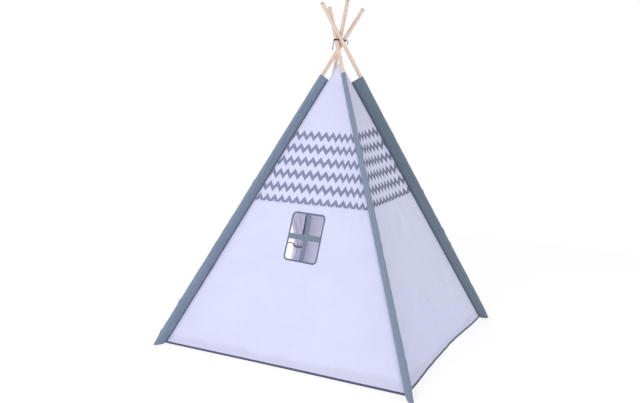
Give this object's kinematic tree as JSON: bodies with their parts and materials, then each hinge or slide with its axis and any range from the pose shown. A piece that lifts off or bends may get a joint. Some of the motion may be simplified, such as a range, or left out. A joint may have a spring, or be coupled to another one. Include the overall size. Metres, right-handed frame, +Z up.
{
  "type": "kids teepee",
  "caption": "Children's teepee with crossed wooden poles in corner sleeves, a cloth cover with a zigzag print, a strapped window and a curtained doorway.",
  "frame": {"origin": "on the floor under the middle of the square cover", "axes": "+Z up, +X out of the window wall, -Y out of the doorway"},
  "size_m": [1.2228, 1.2228, 1.5676],
  "materials": {
    "wood": "bare sanded",
    "steel": "satin",
    "canvas": "matt woven",
    "print_cloth": "matt woven, printed zigzag",
    "sleeve_cloth": "matt woven",
    "binding_tape": "matt tape",
    "strap_tape": "matt tape",
    "dark_cord": "matt twisted"
  },
  "bodies": {
    "crossing": {"lashing": "dark_cord", "lashing_tail_low": "dark_cord", "lashing_tail_high": "dark_cord", "cover_peak": "canvas"},
    "pole_front": {"pole_front_lower": "wood", "pole_front_upper": "wood", "ferrule_front": "steel", "sleeve_front": "sleeve_cloth"},
    "pole_left": {"pole_left_lower": "wood", "pole_left_upper": "wood", "ferrule_left": "steel", "sleeve_left": "sleeve_cloth"},
    "pole_right": {"pole_right_lower": "wood", "pole_right_upper": "wood", "ferrule_right": "steel", "sleeve_right": "sleeve_cloth"},
    "pole_back": {"pole_back_lower": "wood", "pole_back_upper": "wood", "ferrule_back": "steel", "sleeve_back": "sleeve_cloth"},
    "window_half_left": {"window_band_left": "print_cloth", "window_panel_left": "canvas", "window_hem_left": "binding_tape", "window_binding_left": "binding_tape", "window_strap_left": "strap_tape"},
    "window_half_front": {"window_band_front": "print_cloth", "window_panel_front": "canvas", "window_hem_front": "binding_tape", "window_binding_front": "binding_tape", "window_strap_cross": "strap_tape"},
    "side_half_front": {"side_band_front": "print_cloth", "side_panel_front": "canvas", "side_hem_front": "binding_tape"},
    "side_half_right": {"side_band_right": "print_cloth", "side_panel_right": "canvas", "side_hem_right": "binding_tape"},
    "rear_half_right": {"rear_band_right": "print_cloth", "rear_panel_right": "canvas", "rear_hem_right": "binding_tape"},
    "rear_half_back": {"rear_band_back": "print_cloth", "rear_panel_back": "canvas", "rear_hem_back": "binding_tape"},
    "door_half_back": {"door_band_back": "print_cloth", "door_curtain_back": "canvas", "door_tie_back": "dark_cord", "door_tie_tail_back": "dark_cord"},
    "door_half_left": {"door_band_left": "print_cloth", "door_curtain_left": "canvas", "door_tie_left": "dark_cord", "door_tie_tail_left": "dark_cord"}
  },
  "joints": [
    {"name": "fold_front", "type": "hinge", "parent": "crossing", "child": "pole_front", "pos_m": [0.03467, 0.00247, 1.365], "axis": [-0.7264, 0.6873, 0], "range_deg": [0, 18], "deforming": ["cover_peak", "lashing", "lashing_tail_low", "lashing_tail_high"]},
    {"name": "fold_left", "type": "hinge", "parent": "crossing", "child": "pole_left", "pos_m": [-0.00385, -0.00236, 1.365], "axis": [0.7034, 0.7108, 0], "range_deg": [0, 18]},
    {"name": "fold_right", "type": "hinge", "parent": "crossing", "child": "pole_right", "pos_m": [-0.00236, 0.02214, 1.365], "axis": [-0.6951, -0.7189, 0], "range_deg": [0, 18]},
    {"name": "fold_back", "type": "hinge", "parent": "crossing", "child": "pole_back", "pos_m": [-0.02846, -0.02214, 1.365], "axis": [0.711, -0.7032, 0], "range_deg": [0, 18]},
    {"name": "crease_window_left", "type": "hinge", "parent": "pole_left", "child": "window_half_left", "pos_m": [0.57074, -0.56903, 0], "axis": [0.383, -0.3667, -0.8478], "range_deg": [0, 62.7], "deforming": ["window_band_left", "window_panel_left", "window_hem_left", "window_binding_left", "window_strap_left"]},
    {"name": "crease_window_front", "type": "hinge", "parent": "pole_front", "child": "window_half_front", "pos_m": [0.57068, 0.56906, 0], "axis": [-0.3825, -0.367, 0.8479], "range_deg": [0, 63.5], "deforming": ["window_band_front", "window_panel_front", "window_hem_front", "window_binding_front", "window_strap_cross"]},
    {"name": "crease_side_front", "type": "hinge", "parent": "pole_front", "child": "side_half_front", "pos_m": [0.56909, 0.57066, 0], "axis": [0.3672, 0.3824, -0.8479], "range_deg": [0, 61.9], "deforming": ["side_band_front", "side_panel_front", "side_hem_front"]},
    {"name": "crease_side_right", "type": "hinge", "parent": "pole_right", "child": "side_half_right", "pos_m": [-0.56905, 0.5707, 0], "axis": [0.3669, -0.3827, 0.8479], "range_deg": [0, 63.3], "deforming": ["side_band_right", "side_panel_right", "side_hem_right"]},
    {"name": "crease_rear_right", "type": "hinge", "parent": "pole_right", "child": "rear_half_right", "pos_m": [-0.57069, 0.56907, 0], "axis": [-0.3826, 0.367, -0.8479], "range_deg": [0, 62.3], "deforming": ["rear_band_right", "rear_panel_right", "rear_hem_right"]},
    {"name": "crease_rear_back", "type": "hinge", "parent": "pole_back", "child": "rear_half_back", "pos_m": [-0.57064, -0.56909, 0], "axis": [0.3823, 0.3672, 0.8479], "range_deg": [0, 62.9], "deforming": ["rear_band_back", "rear_panel_back", "rear_hem_back"]},
    {"name": "crease_door_back", "type": "hinge", "parent": "pole_back", "child": "door_half_back", "pos_m": [-0.56909, -0.57064, 0], "axis": [-0.3673, -0.3823, -0.8479], "range_deg": [0, 62.5], "deforming": ["door_band_back", "door_curtain_back", "door_tie_back", "door_tie_tail_back"]},
    {"name": "crease_door_left", "type": "hinge", "parent": "pole_left", "child": "door_half_left", "pos_m": [0.56902, -0.57074, 0], "axis": [-0.3667, 0.383, 0.8479], "range_deg": [0, 63], "deforming": ["door_band_left", "door_curtain_left", "door_tie_left", "door_tie_tail_left"]}
  ],
  "couplings": [
    {"joint": "fold_left", "follows": "fold_front", "ratio": 1},
    {"joint": "fold_right", "follows": "fold_front", "ratio": 1},
    {"joint": "fold_back", "follows": "fold_front", "ratio": 1},
    {"joint": "crease_window_left", "follows": "fold_front", "ratio": 3.4803},
    {"joint": "crease_window_front", "follows": "fold_front", "ratio": 3.5272},
    {"joint": "crease_side_front", "follows": "fold_front", "ratio": 3.4364},
    {"joint": "crease_side_right", "follows": "fold_front", "ratio": 3.512},
    {"joint": "crease_rear_right", "follows": "fold_front", "ratio": 3.4568},
    {"joint": "crease_rear_back", "follows": "fold_front", "ratio": 3.4896},
    {"joint": "crease_door_back", "follows": "fold_front", "ratio": 3.4716},
    {"joint": "crease_door_left", "follows": "fold_front", "ratio": 3.4973}
  ]
}
